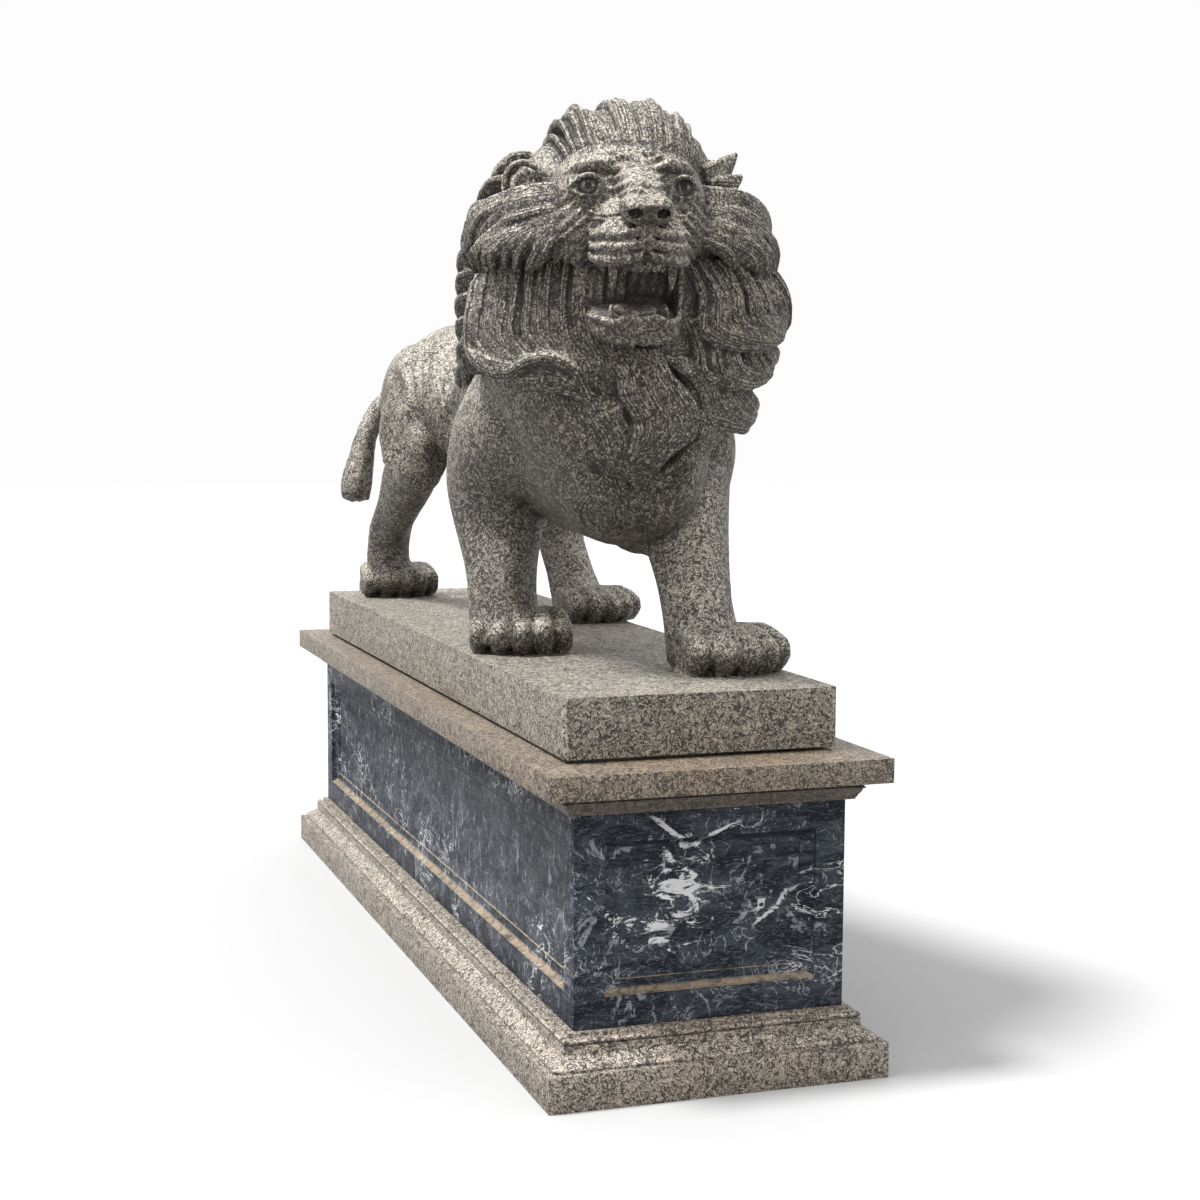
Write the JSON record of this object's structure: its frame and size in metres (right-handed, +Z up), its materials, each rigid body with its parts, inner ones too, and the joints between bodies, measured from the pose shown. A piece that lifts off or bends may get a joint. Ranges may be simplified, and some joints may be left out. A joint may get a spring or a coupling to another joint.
{
  "type": "lion garden statue on plinth",
  "caption": "Carved stone lion walking and roaring, in one with its slab, on a rectangular pedestal with a moulded base, a dark marble die with sunk panels and a projecting cap.",
  "frame": {"origin": "middle of the underside of the pedestal's base", "axes": "+Z up; the lion looks along -Y; +X is the lion's left side"},
  "size_m": [0.7869, 2.7, 2.0793],
  "materials": {
    "lion_granite": "honed granite, grey-beige with dense dark brown and black specks",
    "cap_granite": "honed granite, warm tan with brown and black specks",
    "veined_marble": "polished dark blue-grey marble with white and grey veins",
    "base_granite": "honed granite, beige with brown and black specks"
  },
  "bodies": {
    "root": {"lion": "lion_granite", "cap": "cap_granite", "die": "veined_marble", "base": "base_granite"}
  },
  "joints": []
}
